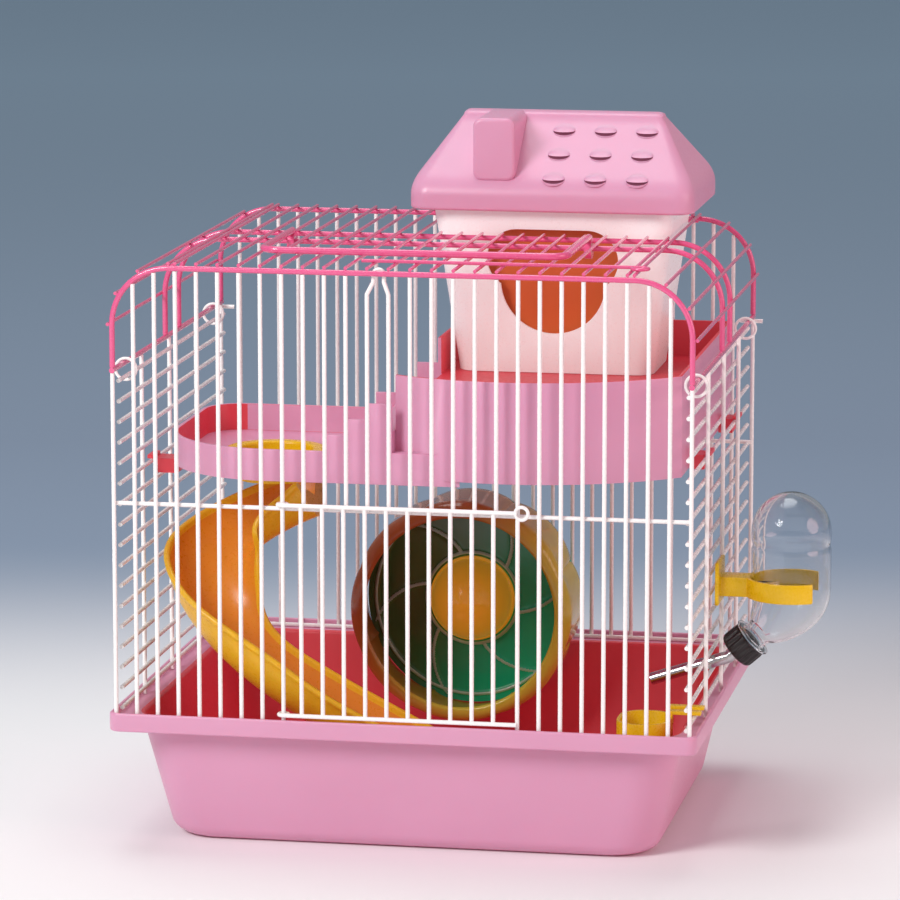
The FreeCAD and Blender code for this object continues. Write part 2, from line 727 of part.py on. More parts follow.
def make_bottle_holder():
    """A clip round the bottle, open at the right, with an arm and a plate on the right wall's wires."""
    low, high = "123", "133"
    band = rod("flask_rad + 2.3", f"{high} - {low}", "flask_side", "flask_back", low)
    face = "cage_wide / 2 + bar_rad + 0.1"
    arm = block(face, "flask_side - flask_rad + 1", "flask_back - 7", "flask_back + 7", low, high)
    plate = block(face, f"{face} + 2", "flask_back - 12", "flask_back + 12", f"{low} - 4", f"{high} + 8")
    bore = rod("flask_rad + 0.3", "40", "flask_side", "flask_back", f"{low} - 10")
    gap = block("flask_side + 13", "flask_side + 40", "flask_back - 30", "flask_back + 30",
                f"{low} - 1", f"{high} + 1")
    return node("bottle_holder", cut(fuse([band, arm, plate]), bore, gap))


def make_food_cup():
    """A cup that hangs from the right wall's lowest wire by two hooks."""
    x0, x1 = "cup_left", "cup_left + cup_wide"
    y0, y1 = "cup_front", "cup_front + cup_deep"
    outer = rounded(block(x0, x1, y0, y1, "cup_foot", "cup_top"), 12, rises)
    inner = rounded(block(f"{x0} + 1.6", f"{x1} - 1.6", f"{y0} + 1.6", f"{y1} - 1.6",
                          "cup_foot + 1.6", "cup_top + 1"), 10.4, rises)
    wire = "side_first"
    hooks = []
    over = "cage_wide / 2 + bar_rad"
    for y in (-84, -72):
        hooks.append(block(f"{x1} - 1.6", x1, y - 2.5, y + 2.5, "cup_top - 4", f"{wire} + 3"))
        hooks.append(block(f"{x1} - 1.6", over, y - 2.5, y + 2.5, f"{wire} + 1.4", f"{wire} + 3"))
    return node("food_cup", fuse([cut(outer, inner)] + hooks))


make_tray()
make_front_wall()
make_back_wall()
make_side_wall("left_wall", -1)
make_side_wall("right_wall", 1)
make_roof()
make_cross_rod()
make_latch_loop()
make_wire_rings()
make_front_door()
make_carry_handle()
make_platform()
make_platform_clips()
make_slide_collar()
make_slide()
make_wheel()
make_wheel_mount()
make_house()
make_house_lid()
make_bottle()
make_bottle_holder()
make_food_cup()

doc.recompute()
for item in doc.Objects:
    if {"Invalid", "Error"} & set(item.State):
        raise RuntimeError(f"{item.Name} ({item.Label}) failed to build")
for item in nodes:
    if item.Shape.isNull() or not item.Shape.isValid():
        raise RuntimeError(f"{item.Label} has no valid shape")

os.makedirs("parts", exist_ok=True)
for item in nodes:
    item.Shape.exportStep(f"parts/{item.Label}.step")
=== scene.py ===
"""Hamster cage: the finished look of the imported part, laid out as a Blender add-on.

Lengths are in metres in the part's own frame: +X is the cage's right, +Y its back, +Z up.
"""
import math

import bpy
import numpy as np
from bpy.props import FloatProperty, FloatVectorProperty, IntProperty, PointerProperty
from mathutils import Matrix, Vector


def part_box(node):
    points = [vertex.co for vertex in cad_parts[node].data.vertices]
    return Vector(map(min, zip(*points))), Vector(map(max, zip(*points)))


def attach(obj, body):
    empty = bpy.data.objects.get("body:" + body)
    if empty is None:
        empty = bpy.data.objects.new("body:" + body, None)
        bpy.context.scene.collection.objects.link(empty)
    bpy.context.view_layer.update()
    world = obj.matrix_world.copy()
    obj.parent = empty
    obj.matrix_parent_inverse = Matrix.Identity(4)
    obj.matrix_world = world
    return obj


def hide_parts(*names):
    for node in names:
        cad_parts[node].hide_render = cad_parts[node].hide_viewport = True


bl_info = {
    "name": "Hamster Cage",
    "version": (1, 0, 0),
    "blender": (4, 5, 0),
    "location": "3D View > Sidebar > Hamster Cage",
    "description": "Builds the shell, wires, toys and bottle of a small wire cage round its packed part",
    "category": "Object",
}

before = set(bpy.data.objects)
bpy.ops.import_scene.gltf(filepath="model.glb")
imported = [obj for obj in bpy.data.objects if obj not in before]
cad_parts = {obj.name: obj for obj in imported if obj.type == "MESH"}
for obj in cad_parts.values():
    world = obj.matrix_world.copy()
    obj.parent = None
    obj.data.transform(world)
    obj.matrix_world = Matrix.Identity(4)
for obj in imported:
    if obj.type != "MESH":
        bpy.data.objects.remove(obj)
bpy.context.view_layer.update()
MM = 0.001


def linear(code):
    """An sRGB hex colour as linear red, green, blue and full alpha."""
    srgb = np.array([int(code[i:i + 2], 16) for i in (1, 3, 5)]) / 255
    value = np.where(srgb <= 0.04045, srgb / 12.92, ((srgb + 0.055) / 1.055) ** 2.4)
    return (*value.tolist(), 1.0)


def colour(name, code, description):
    """A colour setting that starts at a hex value."""
    return FloatVectorProperty(name=name, description=description, subtype="COLOR", size=4,
                               min=0.0, max=1.0, default=linear(code))


def length(name, millimetres, description):
    """A length setting that starts at a size in millimetres."""
    return FloatProperty(name=name, description=description, unit="LENGTH", subtype="DISTANCE",
                         default=millimetres * MM, min=0.0, precision=5)


# ---------------------------------------------------------------- settings

class CageColours(bpy.types.PropertyGroup):
    """Colours of the plastics and the coated wire"""
    shell: colour("Shell pink", "#D69FBD", "Outside of the tray, the platform and the lid")
    inner_bounce_red: colour("Painted bounce red", "#DE4450", "Inside of the tray and of the platform's walls")
    wall_wire: colour("Wall wire", "#FBFAF8", "Coating of the wall and door wires")
    roof_wire: colour("Roof wire", "#EA5C92", "Coating of the roof wires and the carry handle")
    tub: colour("House white", "#F6F2F1", "Tub of the upper house")
    flap: colour("Flap orange", "#DB6A30", "Swinging flap behind the house doorway")
    slide: colour("Slide yellow", "#F5C22B", "Outside of the slide")
    slide_bed_shade: colour("Painted slide shade", "#F09A2C", "Inside of the slide, where it looks deeper")
    drum: colour("Wheel amber", "#DCD04A", "Clear amber drum of the wheel")
    drum_painted_depth: colour("Painted wheel depth", "#B5653A", "Amber where the drum is seen through two walls")
    disc: colour("Wheel green", "#1CCB98", "Back plate of the wheel")
    disc_painted_shade: colour("Painted wheel shade", "#4E7A44", "Back plate where it lies in the drum's shade")
    rib: colour("Painted rib highlight", "#BFE6D2", "Crests of the ribs on the back plate")
    hub: colour("Hub orange", "#F6B433", "Dome in the middle of the wheel")
    holder: colour("Holder yellow", "#F6CB12", "Clip round the bottle, the collar and the cup")
    cap: colour("Cap black", "#1B1516", "Screw cap of the bottle")


class CageShellSizes(bpy.types.PropertyGroup):
    """Sizes of the tray, the platform and the house"""
    lip: length("Rim edge", 1.0, "Radius on the tray rim's upper edge")
    foot: length("Tray foot edge", 8.0, "Radius round the tray's foot")
    soften: length("Moulded edge", 0.6, "Radius on the edges of the smaller mouldings")
    eaves: length("Lid eaves", 6.0, "How far the turn from the lid's skirt into its slopes reaches each way")
    vent_half: length("Vent half width", 5.8, "Half width of one hooded vent in the lid")
    vent_rise: length("Vent hood", 1.3, "How far a vent's hood stands off the slope")


class CageToySizes(bpy.types.PropertyGroup):
    """Sizes of the wheel and the slide"""
    lobes: IntProperty(name="Drum lobes", description="Scallops round the drum", default=8, min=3, max=24)
    lobe_depth: length("Lobe depth", 2.6, "How far the drum dips between its scallops")
    drum_skin: length("Drum wall", 1.6, "Thickness of the drum's wall")
    rib_rise: length("Rib height", 1.2, "Height of the curved ribs on the back plate")
    ribs: IntProperty(name="Ribs", description="Curved ribs on the back plate", default=6, min=2, max=24)
    slide_skin: length("Slide wall", 2.0, "Thickness of the slide's trough")
    slide_lip: length("Slide lip", 1.7, "Radius of the rolled lip along the slide")


class CageBottleSizes(bpy.types.PropertyGroup):
    """Sizes of the drinking bottle"""
    wall: length("Bottle wall", 1.2, "Thickness of the clear wall")
    groove: length("Groove", 0.8, "Depth of the groove above the clip")
    grips: IntProperty(name="Cap grips", description="Grip ridges round the cap", default=18, min=6, max=60)
    grip_depth: length("Grip depth", 0.8, "Depth of the valleys between the cap's grips")


class CageStageSettings(bpy.types.PropertyGroup):
    """Floor, backdrop and lamps"""
    floor: colour("Floor", "#F4F4F5", "Pale floor round the cage")
    backdrop: colour("Backdrop", "#8C9DB2", "Floor further away")
    distance: colour("Distance", "#B2CDE2", "Floor at the horizon, lighter because less light reaches it")
    sky: colour("Air", "#A9ADB3", "Air above the floor")
    key: FloatProperty(name="Key lamp", description="Power of the large lamp at the left", default=57.0,
                       min=0.0, unit="POWER")
    fill: FloatProperty(name="Fill lamp", description="Power of the soft lamp at the right", default=24.0,
                        min=0.0, unit="POWER")
    top: FloatProperty(name="Top lamp", description="Power of the lamp overhead", default=17.0,
                       min=0.0, unit="POWER")
    air: FloatProperty(name="Ambient light", description="Strength of the light from all round",
                       default=0.65, min=0.0, max=5.0)


# ---------------------------------------------------------------- surfaces

def skin(rings, closed=False):
    """A surface through rings of points, each joined to the next.

    The rings are an array of ring, point and x, y, z. Every ring is a closed loop. When the row of
    rings is not closed itself, a fan of triangles to the ring's mean point shuts each end.
    The side that faces out is found from the sign of the enclosed volume.
    """
    rings = np.asarray(rings, float)
    count, around = rings.shape[:2]
    row = np.arange(count if closed else count - 1)[:, None]
    column = np.arange(around)[None, :]
    after_row, after_column = (row + 1) % count, (column + 1) % around
    this, following = row * around, after_row * around
    quads = np.stack([this + column, this + after_column, following + after_column, following + column],
                     axis=-1).reshape(-1, 4)
    points = rings.reshape(-1, 3)
    fans = np.empty((0, 3), int)
    if not closed:
        ends = np.array([rings[0].mean(0), rings[-1].mean(0)])
        last = (count - 1) * around
        tips = np.full((2, around), len(points)) + [[0], [1]]
        fans = np.concatenate([np.stack([tips[0], after_column[0], column[0]], axis=-1),
                               np.stack([tips[1], last + column[0], last + after_column[0]], axis=-1)])
        points = np.concatenate([points, ends])
    triangles = np.concatenate([quads[:, [0, 1, 2]], quads[:, [0, 2, 3]], fans])
    a, b, c = (points[triangles[:, i]] for i in range(3))
    if np.einsum("ij,ij->i", a, np.cross(b, c)).sum() < 0:
        quads, fans = quads[:, ::-1], fans[:, ::-1]
    return points, quads, fans


def banded(surface, around, finish_of_band):
    """A skinned surface with one finish number for each band of quads between two rings."""
    points, quads, fans = surface
    finish = np.repeat(np.asarray(finish_of_band, int), around)
    return points, quads, fans, finish


def make_piece(name, surfaces, looks, body, replaced, sharp=42.0):
    """One object made of closed surfaces, which share its list of looks."""
    points, quads, fans, quad_finish, fan_finish = [], [], [], [], []
    base = 0
    for surface in surfaces:
        own_points, own_quads, own_fans = surface[:3]
        own_finish = surface[3] if len(surface) > 3 else np.zeros(len(own_quads), int)
        points.append(own_points)
        quads.append(own_quads + base)
        fans.append(own_fans + base)
        quad_finish.append(own_finish)
        half = len(own_fans) // 2
        fan_finish.append(np.repeat([own_finish[0], own_finish[-1]], half))
        base += len(own_points)
    faces = np.concatenate(quads).tolist() + np.concatenate(fans).tolist()
    mesh = bpy.data.meshes.new(name)
    mesh.from_pydata(np.concatenate(points).tolist(), [], faces)
    mesh.polygons.foreach_set("material_index", np.concatenate(quad_finish + fan_finish).astype(np.int32))
    mesh.polygons.foreach_set("use_smooth", np.ones(len(faces), bool))
    mesh.update()
    mesh.set_sharp_from_angle(angle=math.radians(sharp))
    for material in looks:
        mesh.materials.append(material)
    return settle(bpy.data.objects.new(name, mesh), body, replaced)


def settle(piece, body, replaced):
    """Link a piece, and say what it rides on and stands for."""
    bpy.context.scene.collection.objects.link(piece)
    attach(piece, body)
    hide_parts(*replaced)
    return piece


def rounded_rings(half_x, half_y, corner, level, x=0.0, y=0.0, steps=10):
    """Level rings shaped as rectangles with round corners.

    The corner centres stand in from the half sizes by the corner radius; a point is its corner's
    centre plus the radius times the cosine and sine of its angle.
    """
    sizes = (np.asarray(v, float)[..., None, None] for v in (half_x, half_y, corner, level))
    half_x, half_y, corner, level = np.broadcast_arrays(*sizes)
    quarter = np.arange(4)[:, None]
    angle = (quarter + np.linspace(0, 1, steps)[None, :]) * math.pi / 2
    side_x = np.array([1, -1, -1, 1])[:, None]
    side_y = np.array([1, 1, -1, -1])[:, None]
    px = x + side_x * (half_x - corner) + corner * np.cos(angle)
    py = y + side_y * (half_y - corner) + corner * np.sin(angle)
    pz = level + 0 * px
    return np.stack([px, py, pz], axis=-1).reshape(len(level), -1, 3)


def arc(start, stop, steps):
    """Angles from start to stop degrees, in radians."""
    return np.radians(np.linspace(start, stop, steps))


def turned_rings(radius, along, centre, axis, side, columns=96, wave=0.0):
    """Rings round an axis: a point is the centre, plus its place along the axis, plus its radius
    times the cosine and sine of its angle round the axis. The wave is added to every radius."""
    axis, side = np.asarray(axis, float), np.asarray(side, float)
    other = np.cross(axis, side)
    angle = np.arange(columns) * 2 * math.pi / columns
    reach = np.asarray(radius, float)[:, None] + wave
    ring = np.cos(angle)[:, None] * side + np.sin(angle)[:, None] * other
    return np.asarray(centre) + np.asarray(along, float)[:, None, None] * axis + reach[..., None] * ring


MERGE_WITHIN = 0.01 * MM
FLAT_WITHIN, EDGE_FROM, SHARP_FROM = 0.5, 35, 32  # degrees between two faces


def softened(name, node, looks, body, edge, choose=None):
    """A merged copy of a sub-part with its sharp edges rounded.

    Where it is given, choose(centres, normals) picks each face's finish from the looks.
    """
    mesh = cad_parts[node].data.copy()
    mesh.name = name
    piece = bpy.data.objects.new(name, mesh)
    mesh.materials.clear()
    for material in looks:
        mesh.materials.append(material)
    settle(piece, body, (node,))
    tidy = piece.modifiers.new("Merge", "WELD")
    tidy.merge_threshold = MERGE_WITHIN
    flat = piece.modifiers.new("Flat faces", "DECIMATE")
    flat.decimate_type = "DISSOLVE"
    flat.angle_limit = math.radians(FLAT_WITHIN)
    bend = piece.modifiers.new("Moulded edges", "BEVEL")
    bend.width = edge
    bend.segments = 2
    bend.limit_method = "ANGLE"
    bend.angle_limit = math.radians(EDGE_FROM)
    merged = bpy.data.meshes.new_from_object(piece.evaluated_get(bpy.context.evaluated_depsgraph_get()))
    piece.modifiers.clear()
    piece.data = merged
    merged.name = name
    count = len(merged.polygons)
    number = np.zeros(count, np.int32)
    if choose is not None:
        centres, normals = np.empty(count * 3), np.empty(count * 3)
        merged.polygons.foreach_get("center", centres)
        merged.polygons.foreach_get("normal", normals)
        number = choose(centres.reshape(-1, 3), normals.reshape(-1, 3)).astype(np.int32)
    merged.polygons.foreach_set("material_index", number)
    merged.polygons.foreach_set("use_smooth", np.ones(count, bool))
    merged.set_sharp_from_angle(angle=math.radians(SHARP_FROM))
    return piece


# ---------------------------------------------------------------- finishes

def add(tree, kind, inputs=None, **settings):
    """Add a node: settings are its own, and each input is a constant or another node's output."""
    made = tree.nodes.new(kind)
    for name, value in settings.items():
        setattr(made, name, value)
    for name, value in (inputs or {}).items():
        if isinstance(value, bpy.types.NodeSocket):
            tree.links.new(value, made.inputs[name])
        else:
            made.inputs[name].default_value = value
    return made


def finish(name, deep, light, patch, grain, roughness, bump, slant=None, **shader):
    """A moulded or coated surface on object coordinates.

    Its colour drifts between deep and light over patches, and its gloss and its fine relief
    follow a grain; patch and grain are sizes in metres and bump is the relief's depth. A slant of
    direction, start and end makes the colour run from deep to light along that direction instead.
    """
    material = bpy.data.materials.new(name)
    material.use_nodes = True
    tree = material.node_tree
    tree.nodes.clear()
    place = add(tree, "ShaderNodeTexCoord").outputs["Object"]
    if slant is None:
        drift = add(tree, "ShaderNodeTexNoise", {"Vector": place, "Scale": 1 / patch, "Detail": 2.0,
                                                 "Roughness": 0.45}).outputs["Fac"]
    else:
        along = add(tree, "ShaderNodeVectorMath", {0: place, 1: slant[0]}, operation="DOT_PRODUCT")
        drift = add(tree, "ShaderNodeMapRange", {"Value": along.outputs["Value"], "From Min": slant[1],
                                                 "From Max": slant[2]},
                    interpolation_type="SMOOTHSTEP").outputs["Result"]
    mix = add(tree, "ShaderNodeMix", {"Factor": drift, "A": deep, "B": light}, data_type="RGBA")
    fine = add(tree, "ShaderNodeTexNoise", {"Vector": place, "Scale": 1 / grain, "Detail": 3.0,
                                            "Roughness": 0.55})
    gloss = add(tree, "ShaderNodeMapRange", {"Value": fine.outputs["Fac"], "From Min": 0.3, "From Max": 0.7,
                                             "To Min": roughness * 0.82, "To Max": roughness * 1.22})
    relief = add(tree, "ShaderNodeBump", {"Height": fine.outputs["Fac"], "Strength": 0.5, "Distance": bump})
    inputs = {"Base Color": mix.outputs["Result"], "Roughness": gloss.outputs["Result"],
              "Normal": relief.outputs["Normal"]}
    inputs.update(shader)
    body = add(tree, "ShaderNodeBsdfPrincipled", inputs)
    add(tree, "ShaderNodeOutputMaterial", {"Surface": body.outputs["BSDF"]})
    return material


def shaded(value, factor):
    """A linear colour made darker, with its green and blue falling faster than its red."""
    return (value[0] * factor, value[1] * factor ** 1.6, value[2] * factor ** 1.4, 1.0)


def make_finishes():
    """Every finish of the cage, by the name of its material slot."""
    c = bpy.context.scene.cage_colours
    deep_skin = {"Subsurface Weight": 0.22, "Subsurface Radius": (1.0, 0.3, 0.35), "Subsurface Scale": 0.004,
                 "IOR": 1.49, "Emission Color": (1.0, 0.05, 0.1, 1.0), "Emission Strength": 0.05}
    return {
        # Polypropylene, injection moulded and polished: soft gloss. A faint light of its own stands in
        # for the light that comes through the thin walls, here and in the other pale plastics.
        "pink_plastic": finish("Moulded pink polypropylene", shaded(c.shell, 0.93), c.shell[:], 0.06, 0.0015,
                               0.34, 0.00002, **deep_skin),
        # Painted shade: the same polypropylene darkened in the narrow mouth of a vent, where little light
        # reaches it.
        "vent_shade": finish("Pink polypropylene in painted vent shade", shaded(c.shell, 0.3), shaded(c.shell, 0.38), 0.01,
                             0.0015, 0.5, 0.00002, **{"IOR": 1.49}),
        # Painted bounce red: the same polypropylene inside, painted red where light that bounces between the
        # walls deepens it.
        "red_plastic": finish("Red polypropylene with painted bounce", shaded(c.inner_bounce_red, 0.85), c.inner_bounce_red[:], 0.05, 0.0015,
                              0.36, 0.00002, **deep_skin),
        # Steel wire dipped in white PVC: glossy skin with slight runs about 2 mm long.
        "white_wire": finish("White PVC dipped wire", shaded(c.wall_wire, 0.96), c.wall_wire[:], 0.01, 0.002,
                             0.26, 0.00004, **{"Coat Weight": 0.4, "Coat Roughness": 0.12}),
        # The same dip in pink.
        "pink_wire": finish("Pink PVC dipped wire", shaded(c.roof_wire, 0.9), c.roof_wire[:], 0.01, 0.002,
                            0.24, 0.00004, **{"Coat Weight": 0.8, "Coat Roughness": 0.12}),
        # Polystyrene, milky white and moulded thin, so a little light comes through.
        "white_plastic": finish("Milky white polystyrene", shaded(c.tub, 0.96), c.tub[:], 0.05, 0.0012,
                                0.3, 0.000015, **{"Subsurface Weight": 0.3,
                                                  "Subsurface Radius": (1.0, 0.9, 0.85),
                                                  "Subsurface Scale": 0.003, "IOR": 1.59,
                                                  "Emission Color": (0.85, 1.0, 1.0, 1.0),
                                                  "Emission Strength": 0.13}),
        # Polypropylene flap, deep orange, satin from a lightly textured mould; its deep orange is its own
        # orange plus painted shade from the house around it.
        "orange_plastic": finish("Orange polypropylene in painted shade", shaded(c.flap, 0.85), c.flap[:], 0.03, 0.001,
                                 0.4, 0.00003, **{"IOR": 1.49}),
        # Polypropylene slide, thin enough that light spreads inside its wall, and its bed, painted a deeper
        # orange as the shade inside the trough.
        "yellow_plastic": finish("Yellow polypropylene", shaded(c.slide, 0.9), c.slide[:], 0.05, 0.0015, 0.3,
                                 0.00002, **{"Subsurface Weight": 0.25, "Subsurface Radius": (1.0, 0.5, 0.1),
                                             "Subsurface Scale": 0.004, "IOR": 1.49}),
        "slide_bed_shade": finish("Painted shade of the slide bed", shaded(c.slide_bed_shade, 0.88), c.slide_bed_shade[:], 0.05, 0.0015, 0.3,
                            0.00002, **{"Subsurface Weight": 0.25, "Subsurface Radius": (1.0, 0.4, 0.1),
                                        "Subsurface Scale": 0.004, "IOR": 1.49}),
        # Clear amber polystyrene with a high gloss. Its colour runs across the wheel into a painted brown,
        # standing in for the walls
        #         that are seen through one another, so little light is let through.
        "amber_plastic": finish("Clear amber polystyrene", c.drum_painted_depth[:], c.drum[:], 0.05, 0.002, 0.09,
                                0.00001, ((0.75, 0, -0.66), -0.11, -0.02),
                                **{"Transmission Weight": 0.15, "IOR": 1.45}),
        # Polystyrene back plate with a high gloss, green running to olive behind the drum's wall as painted
        # shade.
        "green_plastic": finish("Green polystyrene", c.disc_painted_shade[:], c.disc[:], 0.05, 0.002, 0.14,
                                0.00001, ((0.9, 0, -0.44), -0.07, -0.01), **{"IOR": 1.55}),
        # Painted highlight on the crests of its ribs, where they catch the lamp.
        "rib_highlight": finish("Painted highlight on green ribs", shaded(c.rib, 0.9), c.rib[:], 0.05, 0.002, 0.1,
                              0.00001, **{"IOR": 1.55}),
        # Polystyrene dome, glossy and slightly see-through, with a painted glow of its own that brightens it.
        "hub_plastic": finish("Orange polystyrene dome", shaded(c.hub, 0.85), c.hub[:], 0.02, 0.002, 0.16,
                              0.00001, **{"Subsurface Weight": 0.4, "Subsurface Radius": (1.0, 0.45, 0.1),
                                          "Subsurface Scale": 0.006, "IOR": 1.55,
                                          "Emission Color": c.hub[:], "Emission Strength": 0.2}),
        # Polypropylene clip, collar and cup.
        "holder_plastic": finish("Bright yellow polypropylene", shaded(c.holder, 0.88), c.holder[:], 0.02,
                                 0.0012, 0.28, 0.00002, **{"IOR": 1.49}),
        # Clear PET bottle, blown: very smooth, with faint waves.
        "clear_plastic": finish("Blown clear PET", (0.93, 0.95, 0.96, 1.0), (0.97, 0.98, 0.99, 1.0), 0.03,
                                0.01, 0.03, 0.00003, **{"Transmission Weight": 1.0, "IOR": 1.38}),
        # Nylon cap, moulded black with a satin grip.
        "black_plastic": finish("Black nylon", shaded(c.cap, 0.8), c.cap[:], 0.005, 0.0008, 0.38, 0.00004,
                                **{"IOR": 1.53}),
        # Silicone seal.
        "rubber": finish("Grey silicone rubber", linear("#8D8F92"), linear("#A5A7AA"), 0.005, 0.0006, 0.55,
                         0.00003),
        # Stainless tube, drawn and tumbled.
        "steel": finish("Drawn stainless steel", linear("#B4B7BA"), linear("#D3D5D6"), 0.004, 0.0006, 0.2,
                        0.00001, **{"Metallic": 1.0}),
    }


def coat(material, *nodes):
    """Give sub-parts whose shape is right their finish."""
    for name in nodes:
        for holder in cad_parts[name].material_slots:
            holder.material = material


finishes = {}


def look(slot):
    """The finish of a slot; the first call makes them all."""
    if not finishes:
        finishes.update(make_finishes())
    return finishes[slot]


# ---------------------------------------------------------------- pieces

class CAGE_OT_wires(bpy.types.Operator):
    """Coat the wire walls, the roof, the door and the metal parts"""
    bl_idname = "cage.wires"
    bl_label = "Wires"

    def execute(self, context):
        coat(look("white_wire"), "front_wall", "back_wall", "left_wall", "right_wall", "front_door",
             "front_latch_loop", "wire_rings")
        coat(look("pink_wire"), "roof_arches", "roof_wires", "roof_edge_rails", "roof_cross_rod",
             "carry_handle")
        coat(look("steel"), "wheel_axle", "drinking_tube", "drinking_ball")
        coat(look("rubber"), "bottle_seal")
        return {"FINISHED"}


class CAGE_OT_tray(bpy.types.Operator):
    """Deep tray with a skirted rim, leaning walls and a rounded foot"""
    bl_idname = "cage.tray"
    bl_label = "Tray"

    def execute(self, context):
        sizes = context.scene.cage_shell
        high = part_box("tray")[1]
        lip, foot = sizes.lip, sizes.foot
        foot_x, foot_y, lean, lean_high = 125, 98, 14.5, 66 * MM
        wall, corner, inner_corner, rim_corner = 2 * MM, 22 * MM, 20 * MM, 6 * MM
        ledge, skirt, half_wall = high.z - 4 * MM, high.z - 9.5 * MM, wall / 2
        under, fillet, groove, brim, floor = 1.2 * MM, 1.0 * MM, 0.8 * MM, 1.5 * MM, 5 * MM

        def body_rows(level, inset, corner):
            """The walls lean out by the lean over the height of the ledge."""
            half_x = (foot_x + lean * level / lean_high) * MM
            half_y = (foot_y + lean * level / lean_high) * MM
            corner = corner + 0 * level - 0.4 * inset
            return np.stack([half_x - inset, half_y - inset, corner, level], axis=-1)

        def rim_rows(inset, level):
            inset, level = np.broadcast_arrays(np.asarray(inset, float), np.asarray(level, float))
            return np.stack([high.x - inset, high.y - inset, rim_corner - 0.6 * inset, level], axis=-1)

        bend, turn, half_turn = arc(0, 90, 8), arc(0, 90, 5), arc(0, 180, 9)
        brow, heel = arc(0, 90, 6), arc(0, 90, 7)
        outside = [
            body_rows(foot * (1 - np.cos(bend)), foot * (1 - np.sin(bend)), corner),
            body_rows(np.linspace(foot, ledge - wall - under, 6)[1:], 0.0, corner),
            body_rows(ledge - wall - under * np.cos(turn), -under * (1 - np.sin(turn[::-1])), corner),
            rim_rows(wall + fillet * (1 - np.sin(turn)), ledge - wall - fillet * (1 - np.cos(turn))),
            rim_rows(half_wall + half_wall * np.cos(half_turn),
                     skirt + half_wall - half_wall * np.sin(half_turn)),
            rim_rows(half_wall - lip * np.cos(half_turn), high.z - lip + lip * np.sin(half_turn)),
            rim_rows(wall + groove * (1 - np.cos(turn)), ledge + groove * (1 - np.sin(turn)))]
        inside = [
            body_rows(ledge - brim * (1 - np.cos(brow)), wall - brim * (1 - np.sin(brow)), inner_corner),
            body_rows(np.linspace(ledge - 2 * MM, wall + floor, 6), wall, corner),
            body_rows(wall + floor * (1 - np.sin(heel)), wall + floor * (1 - np.cos(heel)), corner)]
        rows = np.concatenate(outside + inside)
        rings = rounded_rings(*rows.T, steps=14)
        # The inside rows take finish 1, the painted bounce red.
        band = np.arange(len(rows) - 1) >= len(rows) - sum(map(len, inside))
        make_piece("tray_moulding", [banded(skin(rings), rings.shape[1], band)],
                   [look("pink_plastic"), look("red_plastic")], "base", ("tray",))
        return {"FINISHED"}


def painted_bounce_of_platform(centres, normals):
    """Number 1, the painted bounce red, for the faces inside the platform's rims, and 0 outside.

    A point just off the face lies inside when it is within the low tray's rounded walls or
    within the deck's box and bow, and above their floors. The sizes here are in millimetres.
    """
    off_face = 0.6
    x, y, z = (centres / MM + normals * off_face).T
    left, right, back, floor = -6, 133, 110, 224
    bow_x, bow_y, bow_radius = 50, 8, 118
    bow = (y > bow_y) | (np.hypot(x - bow_x, y - bow_y) < bow_radius)
    deck = (x > left) & (x < right) & (y < back) & bow & (z > floor)

    left, right, front, back, floor = -128, -75, -106, 26, 191.2
    nose_x, nose_front, nose_y, nose_radius = -70, -46, -48, 58
    corner_x, corner_y, corner_radius = -110, 8, 18
    nose = (x > nose_x) | (y > nose_front) | (np.hypot(x - nose_x, y - nose_y) < nose_radius)
    corner = (x > corner_x) | (y < corner_y) | (np.hypot(x - corner_x, y - corner_y) < corner_radius)
    low = (x > left) & (x < right) & (y > front) & (y < back) & (z > floor) & nose & corner

    upright, level = np.abs(normals[:, 2]) < 0.6, normals[:, 2] > 0.9
    return (deck & (upright | level)) | (low & upright)


class CAGE_OT_platform(bpy.types.Operator):
    """Upper floor with its steps, hooks and the ring in its hole"""
    bl_idname = "cage.platform"
    bl_label = "Platform"

    def execute(self, context):
        edge = context.scene.cage_shell.soften
        # Faces inside the rims take finish 1, the painted bounce red.
        softened("platform_moulding", "platform", [look("pink_plastic"), look("red_plastic")], "cage",
                 edge, painted_bounce_of_platform)
        coat(look("red_plastic"), "platform_clips")
        low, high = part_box("slide_collar")
        centre = ((low.x + high.x) / 2, (low.y + high.y) / 2, 0)
        outer, bore, neck = (high.x - low.x) / 2, 19 * MM, 20.95 * MM
        chamfer, edge, mouth = 0.5 * MM, 1.2 * MM, 1.5 * MM
        flange, top = high.z - 3 * MM, high.z
        bend = arc(0, 90, 6)
        radius = np.concatenate([[bore, neck - chamfer, neck, neck], outer - edge + edge * np.sin(bend),
                                 outer - edge + edge * np.cos(bend), bore + mouth * (1 - np.sin(bend))])
        along = np.concatenate([[low.z, low.z, low.z + chamfer, flange], flange + edge * (1 - np.cos(bend)),
                                top - edge * (1 - np.sin(bend)), top - mouth * (1 - np.cos(bend))])
        rings = turned_rings(radius, along, centre, (0, 0, 1), (1, 0, 0))
        make_piece("slide_collar_ring", [skin(rings, closed=True)], [look("holder_plastic")], "cage",
                   ("slide_collar",))
        return {"FINISHED"}


